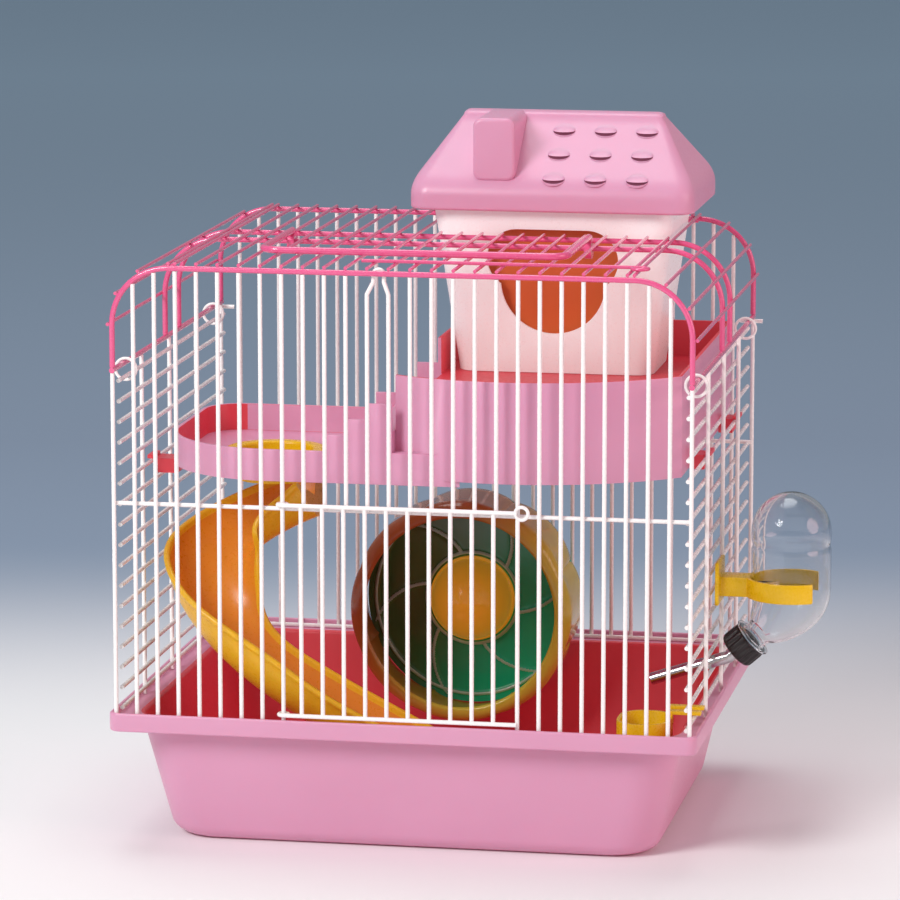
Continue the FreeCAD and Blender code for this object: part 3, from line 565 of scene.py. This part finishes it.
def clamped_spline(points, steps):
    """A cubic through points, smooth in slope and curvature, sampled evenly in its parameter.

    The parameter grows by the distance between points; the end slopes are those of the cubic
    through the four nearest points; the slopes between come from equal second derivatives.
    """
    points = np.asarray(points, float)
    t = np.concatenate([[0], np.cumsum(np.linalg.norm(np.diff(points, axis=0), axis=1))])
    count = len(points)
    gap = np.diff(t)
    matrix, target = np.zeros((count, count)), np.zeros((count, 3))
    for row, near in ((0, slice(0, 4)), (count - 1, slice(count - 4, count))):
        power = np.vander(t[near] - t[row], 4, increasing=True)
        matrix[row, row] = 1
        target[row] = np.linalg.solve(power, points[near])[1]
    inner = np.arange(1, count - 1)
    matrix[inner, inner - 1] = gap[1:]
    matrix[inner, inner] = 2 * (gap[:-1] + gap[1:])
    matrix[inner, inner + 1] = gap[:-1]
    rise = np.diff(points, axis=0) / gap[:, None]
    target[inner] = 3 * (gap[1:, None] * rise[:-1] + gap[:-1, None] * rise[1:])
    slope = np.linalg.solve(matrix, target)
    s = np.linspace(0, t[-1], steps)
    k = np.clip(np.searchsorted(t, s, side="right") - 1, 0, count - 2)
    u = ((s - t[k]) / gap[k])[:, None]
    h = gap[k][:, None]
    return (points[k] * (2 * u ** 3 - 3 * u ** 2 + 1) + slope[k] * h * (u ** 3 - 2 * u ** 2 + u)
            + points[k + 1] * (3 * u ** 2 - 2 * u ** 3) + slope[k + 1] * h * (u ** 3 - u ** 2))


class CAGE_OT_slide(bpy.types.Operator):
    """Open trough that turns down from the platform to the tray's floor"""
    bl_idname = "cage.slide"
    bl_label = "Slide"

    def execute(self, context):
        sizes = context.scene.cage_toys
        route = np.array([(-66, -29, 177), (-86, -33, 168), (-109, -54, 148), (-97, -77, 121), (-60, -79, 88),
                          (-14, -76, 62), (46, -70, 26)]) * MM
        line = clamped_spline(route, 90)
        along = np.gradient(line, axis=0)
        along /= np.linalg.norm(along, axis=1)[:, None]
        across = np.cross(along, (0, 0, 1))
        across /= np.linalg.norm(across, axis=1)[:, None]
        up = np.cross(across, along)
        half, depth = 24 * MM, 21 * MM
        bow = (half ** 2 + depth ** 2) / (2 * depth)
        start = math.degrees(math.atan2(depth - bow, -half))
        swing = arc(start, -180 - start, 29)
        back_swing, inner_bow = swing[::-1], bow - sizes.slide_skin
        outer = np.stack([bow * np.cos(swing), bow - depth + bow * np.sin(swing)], axis=-1)
        inner = np.stack([inner_bow * np.cos(back_swing),
                          bow - depth + inner_bow * np.sin(back_swing)], axis=-1)
        lip, roll = sizes.slide_lip, arc(-60, 200, 9)
        bead = np.stack([half - 0.6 * MM + lip * np.cos(roll), lip * np.sin(roll)], axis=-1)
        mirror = (bead * (-1, 1))[::-1]
        section = np.concatenate([outer[1:-1], bead, inner[1:-1], mirror])
        rings = (line[:, None] + section[None, :, :1] * across[:, None] + section[None, :, 1:] * up[:, None])
        bed = len(outer) - 2 + len(bead)
        # The faces of the trough's bed take finish 1, the painted shade.
        own = np.zeros(len(section), int)
        own[bed:bed + len(inner) - 3] = 1
        make_piece("slide_trough", [(*skin(rings), np.tile(own, len(line) - 1))],
                   [look("yellow_plastic"), look("slide_bed_shade")],
                   "cage", ("slide",))
        return {"FINISHED"}


class CAGE_OT_wheel(bpy.types.Operator):
    """Running wheel: scalloped clear drum, ribbed back plate, domed hub and its mount"""
    bl_idname = "cage.wheel"
    bl_label = "Wheel"

    def execute(self, context):
        sizes = context.scene.cage_toys
        low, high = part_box("wheel_drum")
        centre = ((low.x + high.x) / 2, 0, (low.z + high.z) / 2)
        rim, front, back = (high.x - low.x) / 2, low.y, high.y
        mouth, wall, axis, side = 53 * MM, sizes.drum_skin, (0, 1, 0), (0, 0, 1)
        columns = 240
        angle = np.arange(columns) * 2 * math.pi / columns
        lobe = -sizes.lobe_depth * (1 - np.abs(np.cos(sizes.lobes / 2 * angle)) ** 0.55)

        bend = arc(0, 90, 12)
        shoulder = 8 * MM
        outer_r = np.concatenate([mouth + (rim - mouth) * np.sin(bend), np.full(8, rim)])
        outer_y = np.concatenate([front + shoulder * (1 - np.cos(bend)),
                                  np.linspace(front + shoulder, back - 0.8 * MM, 9)[1:]])
        inner_r = outer_r[::-1] - wall
        inner_y = outer_y[::-1] + np.where(outer_y[::-1] > front + shoulder, 0, wall)
        radius = np.concatenate([outer_r, [rim - 0.3 * MM, rim - wall + 0.3 * MM], inner_r])
        along = np.concatenate([outer_y, [back, back], inner_y])
        fade = np.clip((along - front - 2 * MM) / shoulder, 0, 1)[:, None]
        drum = skin(turned_rings(radius, along, centre, axis, side, columns, fade * lobe), closed=True)
        roll, turn = 1.3 * MM, arc(0, 330, 12)
        edge = skin(turned_rings(mouth + roll * np.cos(turn), front + roll + roll * np.sin(turn), centre,
                                 axis, side, 120), closed=True)
        make_piece("wheel_drum_shell", [drum, edge], [look("amber_plastic")], "wheel", ("wheel_drum",))

        fine = np.arange(2 * columns) * math.pi / columns
        reach = np.concatenate([np.linspace(3.1, 22, 4), np.linspace(23, 57, 80), [57.6]]) * MM
        swirl = fine[None, :] + 0.9 * (reach[:, None] / rim) ** 1.5
        spoke_wide, hoop_wide, fade_over = 1.3 * MM, 1.0 * MM, 3 * MM
        spoke = np.exp(-((np.mod(swirl * sizes.ribs / (2 * math.pi) + 0.5, 1) - 0.5)
                         * 2 * math.pi / sizes.ribs * reach[:, None] / spoke_wide) ** 2)
        hoop = np.exp(-((reach - 53 * MM) / hoop_wide) ** 2) + np.exp(-((reach - 25 * MM) / hoop_wide) ** 2)
        blank = np.clip((reach - 23 * MM) / fade_over, 0, 1) * np.clip((57 * MM - reach) / fade_over, 0, 1)
        rise = sizes.rib_rise * np.maximum(spoke * blank[:, None], hoop[:, None])
        disc_low, disc_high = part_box("wheel_disc")
        face = disc_low.y + 0 * rise - rise
        ring = np.cos(fine)[:, None] * np.array(side) + np.sin(fine)[:, None] * np.cross(axis, side)
        plate = reach[:, None, None] * ring + face[..., None] * np.array(axis) + np.array(centre)
        rear = reach[[-1, 0], None, None] * ring + disc_high.y * np.array(axis) + np.array(centre)
        # Quads on the rib crests take finish 1, the painted highlight.
        crest = (rise[:-1] > 0.55 * sizes.rib_rise).astype(int).ravel()
        number = np.concatenate([crest, np.zeros((len(rear) + 1) * len(fine), int)])
        make_piece("wheel_back_plate", [(*skin(np.concatenate([plate, rear]), closed=True), number)],
                   [look("green_plastic"), look("rib_highlight")], "wheel", ("wheel_disc",))

        hub_low, hub_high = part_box("wheel_hub")
        dome = (hub_high.x - hub_low.x) / 2
        sweep = arc(4, 90, 22)
        radius = np.concatenate([dome * np.sin(sweep), [dome + 1.2 * MM, dome + 1.2 * MM, 4 * MM]])
        along = np.concatenate([hub_high.y - dome * np.cos(sweep) - 1.6 * MM,
                                [hub_high.y - 1.6 * MM, hub_high.y, hub_high.y]])
        make_piece("wheel_hub_dome", [skin(turned_rings(radius, along, centre, axis, side))],
                   [look("hub_plastic")], "wheel", ("wheel_hub",))
        for node in ("wheel_bracket", "wheel_wing_nut"):
            softened(f"{node}_moulding", node, [look("red_plastic")], "cage",
                     context.scene.cage_shell.soften)
        return {"FINISHED"}


class CAGE_OT_house(bpy.types.Operator):
    """Tub with its doorway, and the flap that hangs behind it"""
    bl_idname = "cage.house"
    bl_label = "House"

    def execute(self, context):
        edge = context.scene.cage_shell.soften
        softened("house_tub_moulding", "house_tub", [look("white_plastic")], "house", edge)
        coat(look("orange_plastic"), "house_flap")
        return {"FINISHED"}


def vent(x, row_high, front, eaves, half, rise):
    """One scooped vent on the lid's front slope.

    Across the vent the opening dips as half an ellipse below its middle. The hood above the opening
    starts at the rise times a circle across and sinks as a cosine up the slope; a low lip runs
    below the opening, and the strip between the lip and the hood is painted dark as its shade.
    """
    run, climb = 45.0, 35.0
    up = np.array([0.0, run, climb]) / math.hypot(run, climb)
    out = np.array([0.0, -climb, run]) / math.hypot(run, climb)
    across = np.linspace(-0.985, 0.985, 25) * half
    bow = np.sqrt(1 - (across / half) ** 2)[:, None]
    share = np.linspace(0, 1, 10)[None, :]
    lower, tall = -0.45 * half * bow, 8 * MM
    edge, flat = np.array([[-2.4, -1.8, -1.1, 0.0]]) * MM, np.array([[0.0, 0.35, 0.1, 0.1]]) * MM
    slope = np.concatenate([lower + tall * bow, lower + edge * bow, lower + tall * share * bow], axis=1)
    raised = np.concatenate([0 * bow, flat * bow, rise * bow * (0.5 + 0.5 * np.cos(share * math.pi))], axis=1)
    raised[:, :2] = -0.4 * MM
    middle = np.array([x, front + (row_high - eaves) * run / climb, row_high])
    rings = (middle + across[:, None, None] * np.array([1.0, 0, 0]) + slope[..., None] * up
             + raised[..., None] * out)
    points, quads, fans = skin(rings)
    band = np.zeros(rings.shape[1], int)
    # Finish 1 is the painted vent shade on the strip under the hood.
    band[3:5] = 1
    return points, quads, fans, np.tile(band, len(across) - 1)


class CAGE_OT_lid(bpy.types.Operator):
    """Hipped lid with a soft skirt, a chimney and hooded vents"""
    bl_idname = "cage.lid"
    bl_label = "House lid"

    def execute(self, context):
        sizes = context.scene.cage_shell
        low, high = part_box("house_lid")
        x, y = (low.x + high.x) / 2, (low.y + high.y) / 2
        half_x, half_y = (high.x - low.x) / 2, (high.y - low.y) / 2
        eaves, bend = low.z + 13 * MM, arc(0, 90, 8)
        lip, soft, crest = 1.4 * MM, sizes.eaves, high.z - 2.6 * MM

        def slope_half(level):
            climb = (level - eaves) / (high.z - eaves)
            return half_x - (half_x - 51.2 * MM) * climb, half_y - (half_y - 3.7 * MM) * climb

        skirt = np.linspace(low.z + lip, eaves - soft, 5)
        joint = (half_x, half_y, eaves - soft), (*slope_half(eaves + soft), eaves + soft)
        corner_point = half_x, half_y, eaves
        t = np.linspace(0, 1, 11)[1:-1]
        turn = [(1 - t) ** 2 * a + 2 * t * (1 - t) * m + t ** 2 * b
                for a, m, b in zip(joint[0], corner_point, joint[1])]
        climb = np.linspace(eaves + soft, crest, 8)
        climb_x, climb_y = slope_half(climb)
        last_x, last_y = climb_x[-1], climb_y[-1]
        crown = arc(0, 90, 7)[1:]
        hem = lip * (1 - np.sin(bend))
        level = np.concatenate([[low.z + 3.1 * MM], low.z + hem[::-1], skirt[1:], turn[2], climb,
                                crest + 2.6 * MM * np.sin(crown)])
        drawn_in = lip * (1 - np.cos(bend))[::-1]
        rows_x = np.concatenate([[half_x - 2 * MM], half_x - drawn_in, half_x + 0 * skirt[1:], turn[0],
                                 climb_x, last_x - 3.2 * MM * (1 - np.cos(crown))])
        rows_y = np.concatenate([[half_y - 2 * MM], half_y - drawn_in, half_y + 0 * skirt[1:], turn[1],
                                 climb_y, last_y - (last_y - 0.6 * MM) * (1 - np.cos(crown))])
        corner = np.interp(level, [low.z, eaves, high.z], [11 * MM, 10 * MM, 3 * MM])
        corner = np.minimum(corner, rows_y * 0.95)
        shell = skin(rounded_rings(rows_x, rows_y, corner, level, x, y, steps=12))

        inset = np.concatenate([2 * MM * (1 - np.cos(bend))[::-1], [0.0]])
        back = np.concatenate([21 * MM + 2 * MM * (1 - np.sin(bend))[::-1], [y - 1 * MM]])
        shaft = rounded_rings(11 * MM - inset, 16.3 * MM - inset, 4.5 * MM - 0.6 * inset, back, 22.3 * MM,
                              high.z - 16.3 * MM, steps=10)
        chimney = skin(shaft[..., [0, 2, 1]])
        vents = [vent((54.3 + 21.8 * column - 0.5 * row) * MM, (350 - 11 * row) * MM, y - half_y, eaves,
                      sizes.vent_half, sizes.vent_rise) for row in range(3) for column in range(3)]
        make_piece("house_lid_moulding", [shell, chimney] + vents,
                   [look("pink_plastic"), look("vent_shade")], "lid", ("house_lid",),
                   sharp=50.0)
        return {"FINISHED"}


class CAGE_OT_bottle(bpy.types.Operator):
    """Clear bottle with its cap, collar and clip"""
    bl_idname = "cage.bottle"
    bl_label = "Drinking bottle"

    def execute(self, context):
        sizes = context.scene.cage_bottle
        low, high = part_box("water_bottle")
        radius, throat_r, tilt = 20.4 * MM, 7.5 * MM, math.radians(41.4)
        across, y = high.x - radius, (low.y + high.y) / 2
        neck = np.array([-math.cos(tilt), 0, -math.sin(tilt)])
        root = np.array([across, y, 118 * MM])

        t = np.linspace(0, 1, 15)[:, None]
        begin, bend_at, end = root + (0, 0, 9 * MM), root, root + neck * 21 * MM
        elbow = (1 - t) ** 2 * begin + 2 * t * (1 - t) * bend_at + t ** 2 * end
        down = 2 * (1 - t) * (bend_at - begin) + 2 * t * (end - bend_at)
        elbow_r = throat_r + (radius - throat_r) * np.cos(t[:, 0] * math.pi / 2) ** 0.7
        dome = arc(3, 90, 14)
        dome_c = np.stack([0 * dome + across, 0 * dome + y, high.z - radius + radius * np.cos(dome)], axis=-1)
        level = np.linspace(high.z - radius, begin[2], 24)[1:-1]
        wall_c = np.stack([0 * level + across, 0 * level + y, level], axis=-1)
        groove = sizes.groove * np.exp(-((level - 150 * MM) / (1.6 * MM)) ** 2)
        throat = root + neck * np.array([24, 30, 35])[:, None] * MM
        centre = np.concatenate([dome_c, wall_c, elbow, throat])
        straight = np.tile([0, 0, -1.0], (len(dome_c) + len(wall_c), 1))
        way = np.concatenate([straight, down, np.tile(neck, (3, 1))])
        way /= np.linalg.norm(way, axis=1)[:, None]
        reach = np.concatenate([radius * np.sin(dome), radius - groove, elbow_r, [throat_r] * 3])

        def tube(inset, pull):
            angle = np.arange(72) * 2 * math.pi / 72
            beside = np.cross(way, (0, 1.0, 0))
            size = np.maximum(reach - inset, 0.4 * MM)[:, None, None]
            ring = size * (np.cos(angle)[None, :, None] * beside[:, None] + np.sin(angle)[None, :, None]
                           * np.array([0, 1.0, 0]))
            return centre[:, None] + ring + pull

        inner_pull = np.zeros((len(centre), 1, 3))
        inner_pull[:len(dome_c), 0, 2] = -sizes.wall * np.cos(dome)
        rings = np.concatenate([tube(0.0, 0.0), tube(sizes.wall, inner_pull)[::-1]])
        washer_d = np.array([25.2, 25.2, 26.0, 26.6, 26.6]) * MM
        washer_r = np.array([7.6, 10.6, 10.9, 10.6, 7.6]) * MM
        washer = skin(turned_rings(washer_r, washer_d, root, neck, (0, 1, 0)), closed=True)
        make_piece("water_bottle_blown", [skin(rings), washer], [look("clear_plastic")], "bottle",
                   ("water_bottle",))

        columns = 8 * sizes.grips
        wave = np.cos(np.arange(columns) * 2 * math.pi / 8)
        valley = -sizes.grip_depth * (0.5 - 0.5 * np.tanh(2.2 * wave))
        cap_d = np.array([27.0, 27.0, 27.5, 28.2, 29.0, 33.0, 36.0, 36.8, 37.6, 38.0, 38.0]) * MM
        cap_r = np.array([3.6, 9.6, 10.0, 10.0, 10.2, 10.2, 10.2, 9.8, 9.2, 8.4, 3.6]) * MM
        grip = np.array([0, 0, 0, 0.4, 1, 1, 1, 0.6, 0, 0, 0])[:, None]
        cap = turned_rings(cap_r, cap_d, root, neck, (0, 1, 0), columns, grip * valley)
        make_piece("bottle_cap_gripped", [skin(cap, closed=True)], [look("black_plastic")], "bottle",
                   ("bottle_cap",))
        softened("bottle_clip_moulding", "bottle_holder", [look("holder_plastic")], "bottle",
                 context.scene.cage_shell.soften)
        return {"FINISHED"}


class CAGE_OT_cup(bpy.types.Operator):
    """Food cup that hangs inside the right wall"""
    bl_idname = "cage.cup"
    bl_label = "Food cup"

    def execute(self, context):
        softened("food_cup_moulding", "food_cup", [look("holder_plastic")], "cup",
                 context.scene.cage_shell.soften * 0.8)
        return {"FINISHED"}


FLOOR_HOOPS, FLOOR_COLUMNS = 90, 96
CAMERA_AT, CAMERA_TILT, CAMERA_TURN = (0.4686, -2.4959, 0.6374), 79.97, 10.56  # metres and degrees
CAMERA_LENS, CAMERA_SENSOR = 199.0, 36.0  # millimetres
LAMPS_AIM = (0, 0, 0.16)


class CAGE_OT_stage(bpy.types.Operator):
    """Pale floor that deepens with distance, soft lamps and the camera"""
    bl_idname = "cage.stage"
    bl_label = "Stage"

    def execute(self, context):
        scene, stage = context.scene, context.scene.cage_stage
        radius = np.concatenate([np.linspace(0.02, 3.0, 60), np.linspace(3.2, 14, 30)])
        rings = turned_rings(radius, np.zeros(FLOOR_HOOPS), (0, 0, 0), (0, 0, 1), (1, 0, 0), FLOOR_COLUMNS)
        cell = np.arange((FLOOR_HOOPS - 1) * FLOOR_COLUMNS)
        start, column = cell - cell % FLOOR_COLUMNS, cell % FLOOR_COLUMNS
        after, following = (column + 1) % FLOOR_COLUMNS, start + FLOOR_COLUMNS
        quads = np.stack([start + column, following + column, following + after, start + after], axis=-1)
        mesh = bpy.data.meshes.new("floor")
        mesh.from_pydata(rings.reshape(-1, 3).tolist(), [], quads.tolist() + [list(range(FLOOR_COLUMNS))])
        floor = bpy.data.objects.new("floor", mesh)
        scene.collection.objects.link(floor)

        paper = bpy.data.materials.new("Painted paper sweep")
        paper.use_nodes = True
        tree = paper.node_tree
        tree.nodes.clear()
        place = add(tree, "ShaderNodeTexCoord").outputs["Object"]
        away = add(tree, "ShaderNodeVectorMath", {0: place, 1: (-0.18, 0.98, 0.0)},
                   operation="DOT_PRODUCT").outputs["Value"]
        fade = add(tree, "ShaderNodeMapRange", {"Value": away, "From Min": 0.12, "From Max": 0.72},
                   interpolation_type="SMOOTHSTEP")
        far = add(tree, "ShaderNodeMapRange", {"Value": away, "From Min": 1.1, "From Max": 3.8})
        near_tint = add(tree, "ShaderNodeMix", {"Factor": fade.outputs["Result"], "A": stage.floor[:],
                                                "B": stage.backdrop[:]}, data_type="RGBA")
        tint = add(tree, "ShaderNodeMix", {"Factor": far.outputs["Result"], "A": near_tint.outputs["Result"],
                                           "B": stage.distance[:]}, data_type="RGBA")
        body = add(tree, "ShaderNodeBsdfPrincipled", {"Base Color": tint.outputs["Result"], "Roughness": 0.8,
                                                      "Specular IOR Level": 0.2})
        add(tree, "ShaderNodeOutputMaterial", {"Surface": body.outputs["BSDF"]})
        mesh.materials.append(paper)

        lamps = (("Key lamp", stage.key, 1.1, (-1.3, -2.1, 1.7), (1.0, 0.99, 0.97)),
                 ("Fill lamp", stage.fill, 1.6, (2.3, -0.6, 0.9), (1.0, 0.62, 0.6)),
                 ("Top lamp", stage.top, 1.4, (-0.2, 0.5, 2.2), (1.0, 1.0, 1.0)))
        for name, power, size, at, tone in lamps:
            lamp = bpy.data.objects.new(name, bpy.data.lights.new(name, "AREA"))
            lamp.data.shape, lamp.data.size, lamp.data.energy = "DISK", size, power
            lamp.data.color, lamp.location = tone, at
            aim = np.array(LAMPS_AIM) - np.array(at)
            lamp.rotation_euler = (math.pi / 2 + math.asin(aim[2] / np.linalg.norm(aim)), 0,
                                   math.atan2(-aim[0], aim[1]))
            scene.collection.objects.link(lamp)

        world = bpy.data.worlds.new("Studio air")
        world.use_nodes = True
        sky = world.node_tree.nodes["Background"]
        sky.inputs["Color"].default_value = stage.sky[:]
        sky.inputs["Strength"].default_value = stage.air
        scene.world = world
        scene.view_settings.view_transform = "Standard"

        camera = bpy.data.objects.new("Camera", bpy.data.cameras.new("Camera"))
        camera.location = CAMERA_AT
        camera.rotation_euler = (math.radians(CAMERA_TILT), 0, math.radians(CAMERA_TURN))
        camera.data.lens, camera.data.sensor_width = CAMERA_LENS, CAMERA_SENSOR
        scene.collection.objects.link(camera)
        scene.camera = camera
        return {"FINISHED"}


class CAGE_PT_panel(bpy.types.Panel):
    """Sidebar panel of the cage"""
    bl_idname = "CAGE_PT_panel"
    bl_label = "Hamster Cage"
    bl_space_type = "VIEW_3D"
    bl_region_type = "UI"
    bl_category = "Hamster Cage"

    def draw(self, context):
        for operator in OPERATORS:
            self.layout.operator(operator.bl_idname)
        for name, kind in SETTINGS.items():
            box = self.layout.box()
            for prop in kind.__annotations__:
                box.prop(getattr(context.scene, name), prop)


OPERATORS = (CAGE_OT_stage, CAGE_OT_wires, CAGE_OT_tray, CAGE_OT_platform, CAGE_OT_slide, CAGE_OT_wheel,
             CAGE_OT_house, CAGE_OT_lid, CAGE_OT_bottle, CAGE_OT_cup)
SETTINGS = {"cage_colours": CageColours, "cage_shell": CageShellSizes, "cage_toys": CageToySizes,
            "cage_bottle": CageBottleSizes, "cage_stage": CageStageSettings}


def register():
    for kind in (*SETTINGS.values(), *OPERATORS, CAGE_PT_panel):
        bpy.utils.register_class(kind)
    for name, kind in SETTINGS.items():
        setattr(bpy.types.Scene, name, PointerProperty(type=kind))


def unregister():
    for name in SETTINGS:
        delattr(bpy.types.Scene, name)
    for kind in reversed((*SETTINGS.values(), *OPERATORS, CAGE_PT_panel)):
        bpy.utils.unregister_class(kind)


def main():
    register()
    for operator in OPERATORS:
        getattr(bpy.ops.cage, operator.bl_idname.split(".")[1])()


if __name__ == "__main__":
    main()
